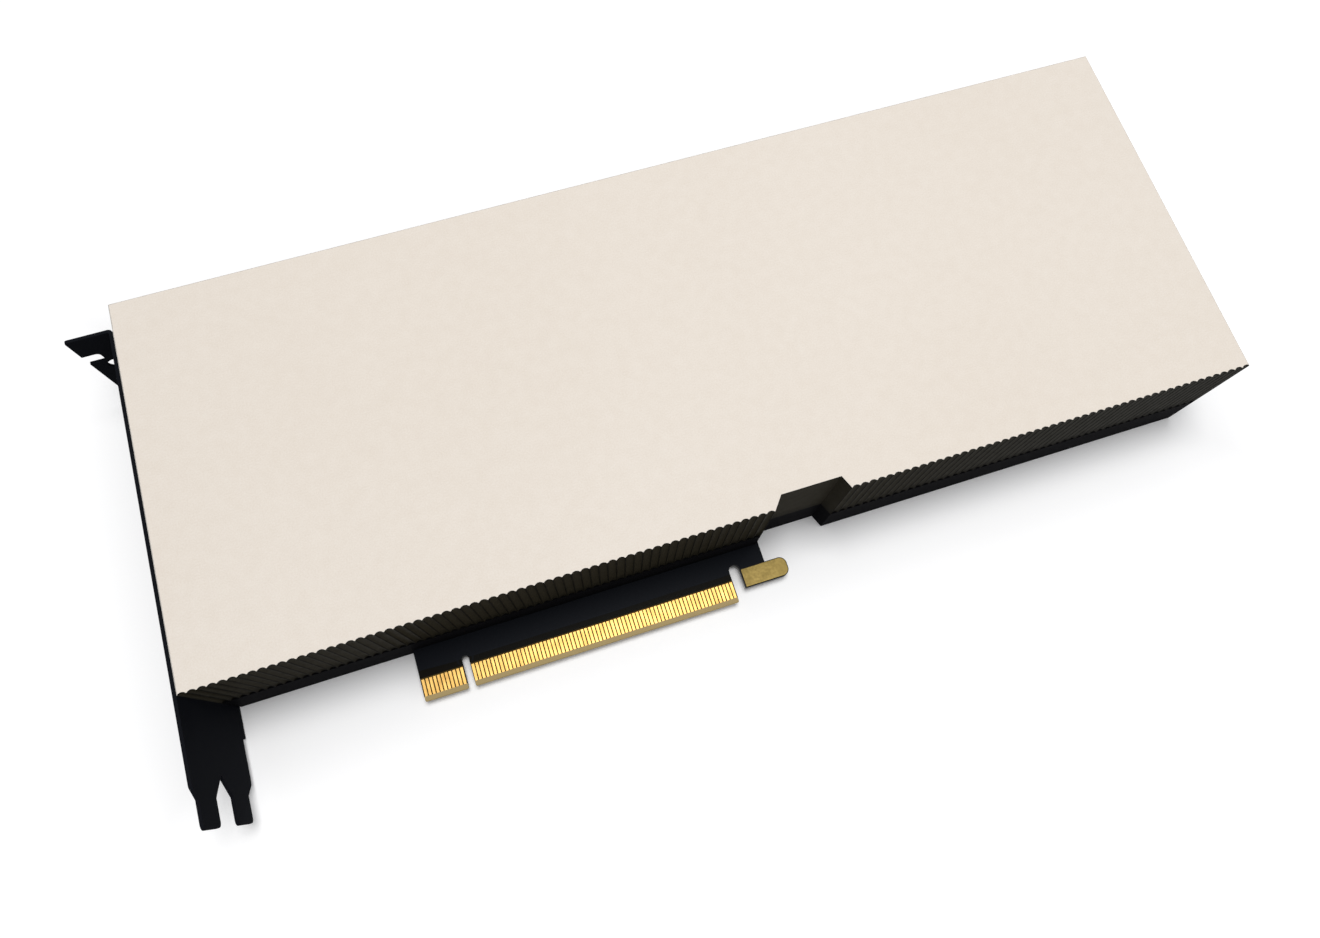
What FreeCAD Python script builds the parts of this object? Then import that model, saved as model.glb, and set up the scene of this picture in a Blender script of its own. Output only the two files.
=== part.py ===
"""Passive accelerator card: a double-width plug-in card cooled by the chassis fans.

Frame: X runs along the card away from the slot bracket, Y runs from the edge
connector up across the card, +Z points out of the component side.  The origin
is the card's own datum: the middle of the key slot (X), the lower edge of the
contact tongue (Y) and the component face of the circuit board (Z).
All lengths are in millimetres.
"""
import FreeCAD, Part
import math
import os

V = FreeCAD.Vector
ALONG_X = V(1, 0, 0)
ALONG_Y = V(0, 1, 0)
ALONG_Z = V(0, 0, 1)

# ---------------------------------------------------------------- cover (shroud)
COVER_X0 = -57.3             # bracket-side end of the cover
FLUTE_PITCH = 2.17           # spacing of the upright flutes
FLUTE_COUNT_LEFT = 64        # flutes between the bracket and the relief
FLUTE_COUNT_SKIPPED = 9      # flute pitches taken up by the relief
FLUTE_COUNT_RIGHT = 50       # flutes between the relief and the far end
FLUTE_DEPTH = 0.46
FLUTE_LAND = 0.14            # flat left between two flutes
FLUTE_STEPS = 5              # straight steps that follow each flute's round
COVER_Y0 = 13.45             # connector-side face of the cover
COVER_Y1 = 111.15            # opposite face: the full height of the card
FACE_Z = 35.0                # outer face above the board
LEDGE_Z = 9.0                # where the cover stands on the frame
ROOF_T = 1.6
WALL_T = 1.9
RELIEF_DEPTH = 3.45          # relief in the connector-side wall
RELIEF_RUN_NEAR = 2.7        # length of its slanted end towards the bracket
RELIEF_RUN_FAR = 1.4         # and of the steeper one away from it
POST = 6.0                   # square corner posts inside the cover
POST_WIDE = 12.0             # wider post beside the bracket's flange
EDGE_BREAK = 0.3             # chamfer on the straight edges of the face

# ---------------------------------------------------------------- circuit board
BOARD_T = 1.57
BOARD_GAP = 0.25             # board edge to frame skirt
TAB_X0 = -12.15              # contact tongue
TAB_X1 = 72.15
KEY_W = 1.9
KEY_TOP = 8.25
BEVEL_H = 1.3                # lead-in bevel on the tongue, up the board
BEVEL_T = 0.47               # and through its thickness
FINGER_PITCH = 1.0
FINGER_W = 0.7
FINGER_TOP = 5.6
FINGERS_LEFT = 11            # contacts on the bracket side of the key
FINGERS_RIGHT = 71
FINGER_START = 1.5           # key centre to the first contact on either side
PLATING_T = 0.05
HOOK_X0 = 75.1               # retention hook beside the tongue
HOOK_X1 = 87.7
HOOK_Y0 = 3.0
HOOK_Y1 = 8.2
HOOK_NECK_X1 = 82.1
HOOK_GAP_TOP = 9.8
HOOK_R = 2.0
HOOK_PAD_INSET = 0.2

# ---------------------------------------------------------------- frame and backplate
RIM_T = 1.8                  # frame walls
SKIRT_T = 1.2                # thinner wall that hides the board's edge
DECK_T = 3.0                 # top plate of the frame
END_WALL_T = 6.0             # thick end walls that take screws
BACK_T = 1.6
BACK_CLEAR = 1.07            # board to backplate
TAB_CLEAR = 0.25             # skirt to tongue and hook
STANDOFF = 6.4               # square pillars between deck and board

# ---------------------------------------------------------------- slot bracket
SHEET_T = 0.86
BRACKET_GAP = 0.2            # bracket to the end of the cover
BRACKET_Z0 = -3.7
BRACKET_Z1 = 34.4
BRACKET_WAIST_Z0 = -1.7      # narrower edge below the chassis shelf
BRACKET_STEP_Y = 5.3
SHOULDER_Y = -6.1
TONGUE_TOP_Y = -8.8
TONGUE_Y0 = -15.3
TONGUE_W = 9.8
TONGUE_R = 1.3
SLOT_PITCH = 20.32           # chassis slot spacing
TONGUE_Z = 27.0              # middle of the upper tongue
CROTCH_Y = -3.7              # top of the notch between the tongues
CROTCH_R = 0.3
FLANGE_Y = 104.72            # outer face of the screw flange
FLANGE_DEPTH = 11.43
BEND_R = 0.25
FLANGE_CORNER_R = 0.7        # outer corners of the flange
SCREW_SLOT_W = 4.2
SCREW_SLOT_DEPTH = 4.2
SCREW_SLOT_Z = 23.8
FLANGE_HOLE_R = 2.35
FLANGE_HOLE_Z = 19.0
FLANGE_HOLE_IN = 5.75        # bracket face to the hole's middle
VENT_FLAT = 6.0              # hexagon across flats
VENT_WEB = 1.3
VENT_Y0 = 24.0
VENT_COLUMNS = 10
VENT_ROWS = 3
VENT_Z = 21.2                # middle row

# ---------------------------------------------------------------- processor package
CHIP_X = 50.0
CHIP_Y = 62.0
SUBSTRATE_T = 1.8
DIE_X = 24.0
DIE_Y = 30.0
DIE_T = 0.8
STACK_X = 9.5
STACK_Y = 9.2
STACK_GAP = 0.8
RING_W = 3.2
RING_T = 0.6
RING_CLEAR = 2.0             # memory stacks to the ring

# ---------------------------------------------------------------- heat sink
CHAMBER = 78.0               # square vapour chamber
CHAMBER_GAP = 0.3
PEDESTAL_EDGE = 1.0          # package ring to the pedestal's side
POST_SPAN = 68.0             # clamping posts, centre to centre
CLAMP_POST = 5.2             # square posts
POST_BOARD_GAP = 0.3
FIN_X0 = -50.0
FIN_X1 = 193.0
FIN_WALL_GAP = 0.5
FIN_T = 0.5
FIN_PITCH = 2.0
FIN_BASE_T = 2.0
FIN_ROOF_GAP = 0.6

# ---------------------------------------------------------------- parts on the board
COIL = 7.4                   # power inductor, square
COIL_H = 5.0
COIL_PITCH = 9.6
COILS = 8
COIL_OFFSET = 50.0           # chip centre to each inductor column
STAGE_X = 5.0
STAGE_Y = 6.0
STAGE_H = 0.9
STAGE_OFFSET = 8.6           # inductor column to the power stages
CAP_X = 4.3                  # moulded polymer capacitor
CAP_Y = 7.3
CAP_H = 2.9
CAP_OFFSET = 7.4             # inductor column to the capacitors
CONTROLLER = 7.0
MEMORY_X = 6.0
MEMORY_Y = 5.0
SMALL_CHIP_H = 1.0

# ---------------------------------------------------------------- power socket
SOCKET_L = 13.4
SOCKET_END_GAP = 0.35        # behind the frame's end face
SOCKET_COLS = 4
SOCKET_ROWS = 2
CELL_PITCH = 4.2
CELL = 3.5
CELL_DEPTH = 11.0
SOCKET_WALL = 0.9
SOCKET_IN = 19.15            # far long side to the middle of the socket
SOCKET_GAP = 0.4
PIN = 1.07
PIN_L = 8.0
LATCH_W = 4.0
LATCH_H = 1.2
LATCH_L = 3.0

# ---------------------------------------------------------------- screws
SCREW_SIDES = 12             # small fasteners and their holes have flat sides
SCREW_R = 1.25
HEAD_R = 2.3
HEAD_H = 1.3
SCREW_BITE = 5.0             # thread length in the part that holds it
HOLE_CLEAR = 0.15
FLAT_HEAD_SINK = 0.1         # countersunk heads sit this far below the face
DRIVE_R = 0.85               # hexagon socket, across corners
DRIVE_DEPTH = 0.7
END_HOLE_Z = 22.0            # threaded holes for a chassis end support
END_HOLE_DEPTH = 5.0
UPPER_SCREW_Z = 22.0
LOWER_SCREW_Z = 4.0
LOWER_SCREW_INSET = 18.0
COVER_SCREW_TOP = 15.0

# ---------------------------------------------------------------- derived places
COVER_X1 = COVER_X0 + FLUTE_PITCH * (FLUTE_COUNT_LEFT + FLUTE_COUNT_SKIPPED + FLUTE_COUNT_RIGHT)
RELIEF_X0 = COVER_X0 + FLUTE_PITCH * FLUTE_COUNT_LEFT
RELIEF_X1 = RELIEF_X0 + FLUTE_PITCH * FLUTE_COUNT_SKIPPED
ROOF_Z = FACE_Z - ROOF_T
DECK_Z0 = LEDGE_Z - DECK_T
BACK_Z1 = -BOARD_T - BACK_CLEAR
BACK_Z0 = BACK_Z1 - BACK_T
PLATE_X1 = COVER_X0 - BRACKET_GAP
PLATE_X0 = PLATE_X1 - SHEET_T
BOARD_EDGE = SKIRT_T + BOARD_GAP
SOCKET_Y = COVER_Y1 - SOCKET_IN
SUBSTRATE = DIE_X + 2 * (STACK_GAP + STACK_X + RING_CLEAR + RING_W)
BOARD_Y1 = COVER_Y1 - BOARD_EDGE
SKIRT_GAP_X0 = TAB_X0 - TAB_CLEAR
SKIRT_GAP_X1 = HOOK_NECK_X1 + TAB_CLEAR
POST_Y = (COVER_Y0 + WALL_T + POST / 2, COVER_Y1 - WALL_T - POST / 2)
CHIP_TOP = SUBSTRATE_T + DIE_T
SOCKET_W = SOCKET_COLS * CELL_PITCH + SOCKET_WALL
SOCKET_H = SOCKET_ROWS * CELL_PITCH + SOCKET_WALL
SOCKET_X1 = COVER_X1 - SOCKET_END_GAP
SOCKET_X0 = SOCKET_X1 - SOCKET_L
FIN_Y0 = COVER_Y0 + RELIEF_DEPTH + WALL_T + FIN_WALL_GAP
FIN_Y1 = COVER_Y1 - WALL_T - FIN_WALL_GAP
FIN_Z1 = ROOF_Z - FIN_ROOF_GAP
PAD_T = DECK_Z0 - COIL_H


def box(x0, x1, y0, y1, z0, z1):
    """A box between two corners."""
    return Part.makeBox(x1 - x0, y1 - y0, z1 - z0, V(x0, y0, z0))


def block(x, y, z0, size_x, size_y, height):
    """A box standing at z0, centred on x, y."""
    return box(x - size_x / 2, x + size_x / 2, y - size_y / 2, y + size_y / 2, z0, z0 + height)


def rod(x, y, z0, radius, height, direction=ALONG_Z):
    """A cylinder that starts at x, y, z0 and runs along direction."""
    return Part.makeCylinder(radius, height, V(x, y, z0), direction)


def polygon(points):
    """A closed wire through the given points."""
    return Part.makePolygon(list(points) + [points[0]])


def prism(points_xy, z0, z1):
    """A flat outline given in X and Y, raised from z0 to z1."""
    face = Part.Face(polygon([V(x, y, z0) for x, y in points_xy]))
    return face.extrude(V(0, 0, z1 - z0))


def side_prism(points_yz, x0, x1):
    """A flat outline given in Y and Z, drawn out from x0 to x1."""
    face = Part.Face(polygon([V(x0, y, z) for y, z in points_yz]))
    return face.extrude(V(x1 - x0, 0, 0))


def corners(u, v, radius, sides):
    """Corners of a regular polygon centred on u, v, with a corner straight above it."""
    turns = [math.pi / 2 + 2 * math.pi * k / sides for k in range(sides)]
    return [(u + radius * math.cos(a), v + radius * math.sin(a)) for a in turns]


def upright(x, y, z0, radius, height):
    """A screw's shank, head or hole that stands at z0."""
    return prism(corners(x, y, radius, SCREW_SIDES), z0, z0 + height)


def endwise(x0, y, z, radius, length):
    """A screw's shank, head or hole that runs along X from x0."""
    return side_prism(corners(y, z, radius, SCREW_SIDES), x0, x0 + length)


def tapered(x, y, z0, radius, top_radius, height):
    """A flat-head screw's cone or its seat, from z0 up."""
    low = [V(px, py, z0) for px, py in corners(x, y, radius, SCREW_SIDES)]
    high = [V(px, py, z0 + height) for px, py in corners(x, y, top_radius, SCREW_SIDES)]
    faces = [Part.Face(polygon(low)), Part.Face(polygon(high))]
    for k in range(SCREW_SIDES):
        faces.append(Part.Face(polygon([low[k - 1], low[k], high[k], high[k - 1]])))
    return Part.makeSolid(Part.makeShell(faces))


def group(solids):
    """Separate solids kept together in one node."""
    return Part.makeCompound(solids)


def relief_line(inset):
    """The stepped connector-side line of the card, moved inwards by inset."""
    near_slide = inset * math.tan(math.atan2(RELIEF_DEPTH, RELIEF_RUN_NEAR) / 2)
    far_slide = inset * math.tan(math.atan2(RELIEF_DEPTH, RELIEF_RUN_FAR) / 2)
    low = COVER_Y0 + inset
    high = low + RELIEF_DEPTH
    return [
        (RELIEF_X0 - near_slide, low),
        (RELIEF_X0 + RELIEF_RUN_NEAR - near_slide, high),
        (RELIEF_X1 - RELIEF_RUN_FAR + far_slide, high),
        (RELIEF_X1 + far_slide, low),
    ]


def card_outline(inset, near_inset, far_inset):
    """Plan outline of the card's body, moved inwards at its sides and its two ends."""
    low = COVER_Y0 + inset
    high = COVER_Y1 - inset
    left = COVER_X0 + near_inset
    right = COVER_X1 - far_inset
    return [(left, high), (left, low)] + relief_line(inset) + [(right, low), (right, high)]


# ================================================================ cover
def flute_points(x_start, places):
    """Outline points of a row of concave flutes with a narrow land between them."""
    half_width = (FLUTE_PITCH - FLUTE_LAND) / 2
    radius = (half_width ** 2 + FLUTE_DEPTH ** 2) / (2 * FLUTE_DEPTH)
    half_turn = math.asin(half_width / radius)
    points = []
    for index in places:
        middle = x_start + (index + 0.5) * FLUTE_PITCH
        for step in range(FLUTE_STEPS + 1):
            turn = half_turn * (2 * step / FLUTE_STEPS - 1)
            depth = FLUTE_DEPTH - radius * (1 - math.cos(turn))
            points.append((middle + radius * math.sin(turn), COVER_Y0 + depth))
    return points


def fluted_outline():
    """Plan outline of the cover: flutes, the relief between them, plain sides."""
    points = [(COVER_X0, COVER_Y1), (COVER_X0, COVER_Y0)]
    points += flute_points(COVER_X0, range(FLUTE_COUNT_LEFT))
    points += relief_line(0.0)
    points += flute_points(RELIEF_X1, range(FLUTE_COUNT_RIGHT))
    points += [(COVER_X1, COVER_Y0), (COVER_X1, COVER_Y1)]
    return points


def edge_breaks():
    """Wedges that chamfer the face along its far side and its two ends."""
    low = FACE_Z - EDGE_BREAK
    far_side = side_prism(
        [(COVER_Y1 - EDGE_BREAK, FACE_Z), (COVER_Y1, FACE_Z), (COVER_Y1, low)], COVER_X0, COVER_X1)
    wedges = [far_side]
    for end_x, inwards in ((COVER_X0, 1), (COVER_X1, -1)):
        section = [V(end_x, COVER_Y0, low), V(end_x, COVER_Y0, FACE_Z)]
        section.append(V(end_x + inwards * EDGE_BREAK, COVER_Y0, FACE_Z))
        wedges.append(Part.Face(polygon(section)).extrude(V(0, COVER_Y1 - COVER_Y0, 0)))
    return wedges


def cover_posts():
    """Posts in the cover's corners, with the pads that meet the bracket."""
    low = COVER_Y0 + WALL_T
    high = COVER_Y1 - WALL_T
    near_x1 = COVER_X0 + POST
    far_x0 = COVER_X1 - POST
    posts = [box(COVER_X0, near_x1, low, low + POST, LEDGE_Z, ROOF_Z)]
    posts.append(box(COVER_X0, near_x1, high - POST_WIDE, high, LEDGE_Z, ROOF_Z))
    posts.append(box(far_x0, COVER_X1, low, low + POST, LEDGE_Z, ROOF_Z))
    posts.append(box(far_x0, COVER_X1, high - POST, high, LEDGE_Z, ROOF_Z))
    for y, z in upper_bracket_screws():
        posts.append(box(PLATE_X1, COVER_X0, y - POST / 2, y + POST / 2, z - POST / 2, z + POST / 2))
    return posts


def cover():
    """One-piece cover: roof and two long walls, open at both ends for the air."""
    body = prism(fluted_outline(), LEDGE_Z, FACE_Z).cut(edge_breaks())
    body = body.cut(prism(card_outline(WALL_T, -POST, -POST), LEDGE_Z, ROOF_Z))
    body = body.fuse(cover_posts()).removeSplitter()
    holes = [endwise(PLATE_X1, y, z, SCREW_R, SCREW_BITE) for y, z in upper_bracket_screws()]
    for y in POST_Y:
        holes.append(rod(COVER_X1 - END_HOLE_DEPTH, y, END_HOLE_Z, SCREW_R, END_HOLE_DEPTH, ALONG_X))
    for x, y in cover_screw_places():
        holes.append(upright(x, y, LEDGE_Z, SCREW_R, COVER_SCREW_TOP - LEDGE_Z))
    return body.cut(holes)


# ================================================================ circuit board
def standoff_places():
    """Where the backplate screws pass the board into the frame."""
    along = (-46.0, -17.0, 118.0, 186.0)
    low = COVER_Y0 + RELIEF_DEPTH + RIM_T + STANDOFF / 2
    high = BOARD_Y1 - STANDOFF / 2 - SCREW_R
    return [(x, y) for x in along for y in (low, high)]


def clamp_places():
    """The four posts round the processor package."""
    half = POST_SPAN / 2
    return [(CHIP_X + sx * half, CHIP_Y + sy * half) for sx in (-1, 1) for sy in (-1, 1)]


def tongue_blank():
    """Contact tongue and hook, still without the key slot and the bevel."""
    top = COVER_Y0 + BOARD_EDGE + BOARD_T
    tongue = box(TAB_X0, TAB_X1, 0, top, -BOARD_T, 0)
    neck = box(TAB_X1, HOOK_NECK_X1, HOOK_Y0, top, -BOARD_T, 0)
    foot = box(HOOK_X0, HOOK_X1, HOOK_Y0, HOOK_Y1, -BOARD_T, 0)
    tips = [e for e in foot.Edges if e.BoundBox.ZLength > BOARD_T / 2 and e.BoundBox.XMin > HOOK_X1 - 1]
    foot = foot.makeFillet(HOOK_R, tips)
    blank = tongue.fuse([neck, foot])
    gap_r = (HOOK_X0 - TAB_X1) / 2
    gap = box(TAB_X1, HOOK_X0, 0, HOOK_GAP_TOP - gap_r, -BOARD_T, 0)
    gap_end = rod(TAB_X1 + gap_r, HOOK_GAP_TOP - gap_r, -BOARD_T, gap_r, BOARD_T)
    return blank.cut(gap.fuse(gap_end))


def bevel_cutters():
    """Wedges that bevel both faces of the tongue's lower edge."""
    front = side_prism([(0, 0), (BEVEL_H, 0), (0, -BEVEL_T)], TAB_X0, TAB_X1)
    back = side_prism([(0, -BOARD_T), (BEVEL_H, -BOARD_T), (0, BEVEL_T - BOARD_T)], TAB_X0, TAB_X1)
    return [front, back]


def circuit_board():
    """Board with its tongue, key slot, hook, lead-in bevel and screw holes."""
    body = prism(card_outline(BOARD_EDGE, BOARD_GAP, BOARD_EDGE), -BOARD_T, 0)
    board = body.fuse(tongue_blank()).removeSplitter()
    key = box(-KEY_W / 2, KEY_W / 2, 0, KEY_TOP - KEY_W / 2, -BOARD_T, 0)
    key_end = rod(0, KEY_TOP - KEY_W / 2, -BOARD_T, KEY_W / 2, BOARD_T)
    cutters = bevel_cutters() + [key.fuse(key_end)]
    for x, y in standoff_places() + clamp_places():
        cutters.append(upright(x, y, -BOARD_T, SCREW_R + HOLE_CLEAR, BOARD_T))
    return board.cut(cutters)


def finger_centres():
    """X positions of the edge contacts on either side of the key."""
    left = [-FINGER_START - i * FINGER_PITCH for i in range(FINGERS_LEFT)]
    right = [FINGER_START + i * FINGER_PITCH for i in range(FINGERS_RIGHT)]
    return sorted(left + right)


def edge_contacts(z0):
    """One face's row of plated contacts."""
    height = FINGER_TOP - BEVEL_H
    middle = (FINGER_TOP + BEVEL_H) / 2
    return group([block(x, middle, z0, FINGER_W, height, PLATING_T) for x in finger_centres()])


def hook_pads():
    """Plated pads on both faces of the hook."""
    x0 = HOOK_X0 + HOOK_PAD_INSET
    x1 = HOOK_X1 - HOOK_PAD_INSET
    y0 = HOOK_Y0 + HOOK_PAD_INSET
    y1 = HOOK_Y1 - HOOK_PAD_INSET
    pads = []
    for z0 in (0.0, -BOARD_T - PLATING_T):
        pad = box(x0, x1, y0, y1, z0, z0 + PLATING_T)
        tips = [e for e in pad.Edges if e.BoundBox.ZLength > PLATING_T / 2 and e.BoundBox.XMin > x1 - 1]
        pads.append(pad.makeFillet(HOOK_R - HOOK_PAD_INSET, tips))
    return group(pads)


# ================================================================ frame
def socket_bay():
    """Clear space for the power socket through the frame's deck and end wall."""
    half = SOCKET_W / 2 + SOCKET_GAP
    top = SOCKET_H + LATCH_H + SOCKET_GAP
    return box(SOCKET_X0 - SOCKET_GAP, COVER_X1, SOCKET_Y - half, SOCKET_Y + half, 0, top)


def chamber_window():
    """Opening in the deck for the vapour chamber."""
    side = CHAMBER + 2 * CHAMBER_GAP
    return block(CHIP_X, CHIP_Y, DECK_Z0, side, side, DECK_T)


def skirt():
    """Thin wall below the board's face that hides the board's edge."""
    ring = prism(card_outline(0.0, 0.0, 0.0), BACK_Z1, 0)
    ring = ring.cut(prism(card_outline(SKIRT_T, -SKIRT_T, SKIRT_T), BACK_Z1, 0))
    gap_top = COVER_Y0 + RELIEF_DEPTH + SKIRT_T
    return ring.cut(box(SKIRT_GAP_X0, SKIRT_GAP_X1, COVER_Y0, gap_top, BACK_Z1, 0))


def frame():
    """Cast frame: deck over the board, rim round it and skirt past its edge."""
    body = prism(card_outline(0.0, 0.0, 0.0), 0, LEDGE_Z)
    body = body.cut(prism(card_outline(RIM_T, END_WALL_T, END_WALL_T), 0, DECK_Z0))
    extras = [skirt()]
    for y, z in lower_bracket_screws():
        extras.append(box(PLATE_X1, COVER_X0, y - POST / 2, y + POST / 2, z - POST / 2, z + POST / 2))
    extras += [block(x, y, 0, STANDOFF, STANDOFF, DECK_Z0) for x, y in standoff_places()]
    body = body.fuse(extras).removeSplitter()
    cutters = [chamber_window(), socket_bay()]
    for x, y in standoff_places():
        cutters.append(upright(x, y, 0, SCREW_R, SCREW_BITE))
    for y, z in lower_bracket_screws():
        cutters.append(endwise(PLATE_X1, y, z, SCREW_R, SCREW_BITE))
    for x, y in cover_screw_places():
        cutters.append(upright(x, y, DECK_Z0, SCREW_R + HOLE_CLEAR, DECK_T))
        cutters.append(upright(x, y, 0, HEAD_R + HOLE_CLEAR, DECK_Z0))
    return body.cut(cutters)


def backplate():
    """Flat plate that closes the back, with countersinks and clamp openings."""
    plate = prism(card_outline(0.0, 0.0, 0.0), BACK_Z0, BACK_Z1)
    cutters = []
    for x, y in standoff_places():
        cutters.append(upright(x, y, BACK_Z0, SCREW_R + HOLE_CLEAR, BACK_T))
        cutters.append(tapered(x, y, BACK_Z0, HEAD_R + HOLE_CLEAR, SCREW_R + HOLE_CLEAR, HEAD_H))
    for x, y in clamp_places():
        cutters.append(upright(x, y, BACK_Z0, HEAD_R + 2 * HOLE_CLEAR, BACK_T))
    return plate.cut(cutters)


def back_pads():
    """Soft pads that carry heat from the back of the board to the backplate."""
    side = SUBSTRATE / 2
    places = [(CHIP_X - COIL_OFFSET, CHIP_Y, COIL * 2, COIL_PITCH * COILS)]
    places.append((CHIP_X + COIL_OFFSET, CHIP_Y, COIL * 2, COIL_PITCH * COILS))
    places.append((CHIP_X, CHIP_Y, side, side))
    return group([block(x, y, BACK_Z1, sx, sy, BACK_CLEAR) for x, y, sx, sy in places])


# ================================================================ slot bracket
def bracket_outline():
    """Outline of the bracket plate in Y and Z, from the flange to the tongues."""
    half = TONGUE_W / 2
    lower_z = TONGUE_Z - SLOT_PITCH
    middle_z = TONGUE_Z - SLOT_PITCH / 2
    return [
        (FLANGE_Y - SHEET_T - BEND_R, BRACKET_Z0),
        (BRACKET_STEP_Y, BRACKET_Z0),
        (BRACKET_STEP_Y, BRACKET_WAIST_Z0),
        (SHOULDER_Y, BRACKET_WAIST_Z0),
        (TONGUE_TOP_Y, lower_z - half),
        (TONGUE_Y0, lower_z - half),
        (TONGUE_Y0, lower_z + half),
        (TONGUE_TOP_Y, lower_z + half),
        (CROTCH_Y, middle_z),
        (TONGUE_TOP_Y, TONGUE_Z - half),
        (TONGUE_Y0, TONGUE_Z - half),
        (TONGUE_Y0, TONGUE_Z + half),
        (TONGUE_TOP_Y, TONGUE_Z + half),
        (SHOULDER_Y, BRACKET_Z1),
        (FLANGE_Y - SHEET_T - BEND_R, BRACKET_Z1),
    ]


def vent_cutters():
    """Staggered rows of hexagonal vents."""
    pitch = VENT_FLAT + VENT_WEB
    row_step = pitch * math.sin(math.radians(60))
    radius = VENT_FLAT / math.sqrt(3)
    cutters = []
    for row in range(VENT_ROWS):
        z = VENT_Z + (row - (VENT_ROWS - 1) / 2) * row_step
        staggered = row % 2
        for column in range(VENT_COLUMNS - staggered):
            y = VENT_Y0 + (column + staggered / 2) * pitch
            cutters.append(side_prism(corners(y, z, radius, 6), PLATE_X0, PLATE_X1))
    return cutters


def through_edges(shape, x0, x1):
    """Edges through the flange's thickness that lie between x0 and x1."""
    edges = [e for e in shape.Edges if e.BoundBox.YLength > SHEET_T / 2]
    return [e for e in edges if x0 < e.BoundBox.XMin < x1]


def flange():
    """Bent-over screw flange with its bend, slots and hole."""
    top_of_plate = FLANGE_Y - SHEET_T - BEND_R
    bend_centre_x = PLATE_X0 - BEND_R
    outer_r = BEND_R + SHEET_T
    ring = rod(bend_centre_x, top_of_plate, BRACKET_Z0, outer_r, BRACKET_Z1 - BRACKET_Z0)
    ring = ring.cut(rod(bend_centre_x, top_of_plate, BRACKET_Z0, BEND_R, BRACKET_Z1 - BRACKET_Z0))
    quarter = box(bend_centre_x, PLATE_X1, top_of_plate, FLANGE_Y, BRACKET_Z0, BRACKET_Z1)
    bend = ring.common(quarter)
    outer_x = PLATE_X1 - FLANGE_DEPTH
    y0 = FLANGE_Y - SHEET_T
    leaf = box(outer_x, bend_centre_x, y0, FLANGE_Y, BRACKET_Z0, BRACKET_Z1)
    leaf = leaf.makeFillet(FLANGE_CORNER_R, through_edges(leaf, outer_x - 1, outer_x + 1))
    slot_r = SCREW_SLOT_W / 2
    for z in (SCREW_SLOT_Z, SCREW_SLOT_Z - SLOT_PITCH):
        inner_x = outer_x + SCREW_SLOT_DEPTH
        slot = box(outer_x, inner_x, y0, FLANGE_Y, z - slot_r, z + slot_r)
        leaf = leaf.cut(slot.makeFillet(slot_r / 2, through_edges(slot, inner_x - 1, inner_x + 1)))
    leaf = leaf.cut(rod(PLATE_X1 - FLANGE_HOLE_IN, y0, FLANGE_HOLE_Z, FLANGE_HOLE_R, SHEET_T, ALONG_Y))
    return bend.fuse(leaf)


def lower_bracket_screws():
    """Y and Z of the bracket screws that go into the frame."""
    return [(y, LOWER_SCREW_Z) for y in (COVER_Y0 + LOWER_SCREW_INSET, COVER_Y1 - LOWER_SCREW_INSET)]


def upper_bracket_screws():
    """Y and Z of the bracket screws that go into the cover's posts."""
    beside_flange = COVER_Y1 - WALL_T - POST_WIDE + POST / 2
    return [(POST_Y[0], UPPER_SCREW_Z), (beside_flange, UPPER_SCREW_Z)]


def edges_at(shape, corners):
    """Edges along X that pass through the given Y, Z corners."""
    found = []
    for edge in shape.Edges:
        span = edge.BoundBox
        if span.XLength < SHEET_T / 2:
            continue
        if any(abs(span.YMin - y) + abs(span.ZMin - z) < 0.01 for y, z in corners):
            found.append(edge)
    return found


def rounded_plate():
    """The bracket's flat plate with its tongue tips, shoulders and crotch rounded."""
    half = TONGUE_W / 2
    middles = (TONGUE_Z, TONGUE_Z - SLOT_PITCH)
    tips = [(TONGUE_Y0, z + side * half) for z in middles for side in (-1, 1)]
    shoulders = [(SHOULDER_Y, BRACKET_WAIST_Z0), (SHOULDER_Y, BRACKET_Z1)]
    crotch = [(CROTCH_Y, TONGUE_Z - SLOT_PITCH / 2)]
    plate = side_prism(bracket_outline(), PLATE_X0, PLATE_X1)
    plate = plate.makeFillet(TONGUE_R, edges_at(plate, tips))
    plate = plate.makeFillet(TONGUE_R, edges_at(plate, shoulders))
    return plate.makeFillet(CROTCH_R, edges_at(plate, crotch))


def bracket():
    """Slot bracket of folded sheet with vents, tongues and screw flange."""
    plate = rounded_plate().fuse(flange()).removeSplitter()
    cutters = vent_cutters()
    for y, z in lower_bracket_screws() + upper_bracket_screws():
        cutters.append(endwise(PLATE_X0, y, z, SCREW_R + HOLE_CLEAR, SHEET_T))
    return plate.cut(cutters)


# ================================================================ processor package
def substrate():
    """Carrier that holds the processor and its memory."""
    return block(CHIP_X, CHIP_Y, 0, SUBSTRATE, SUBSTRATE, SUBSTRATE_T)


def die():
    """Processor die."""
    return block(CHIP_X, CHIP_Y, SUBSTRATE_T, DIE_X, DIE_Y, DIE_T)


def memory_stacks():
    """Three memory stacks on either side of the die."""
    offset = DIE_X / 2 + STACK_GAP + STACK_X / 2
    step = STACK_Y + STACK_GAP
    stacks = []
    for side in (-1, 1):
        for row in (-1, 0, 1):
            stacks.append(block(CHIP_X + side * offset, CHIP_Y + row * step, SUBSTRATE_T, STACK_X, STACK_Y, DIE_T))
    return group(stacks)


def stiffener_ring():
    """Flat metal ring round the rim of the carrier."""
    inner = SUBSTRATE - 2 * RING_W
    ring = block(CHIP_X, CHIP_Y, SUBSTRATE_T, SUBSTRATE, SUBSTRATE, RING_T)
    return ring.cut(block(CHIP_X, CHIP_Y, SUBSTRATE_T, inner, inner, RING_T))


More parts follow.
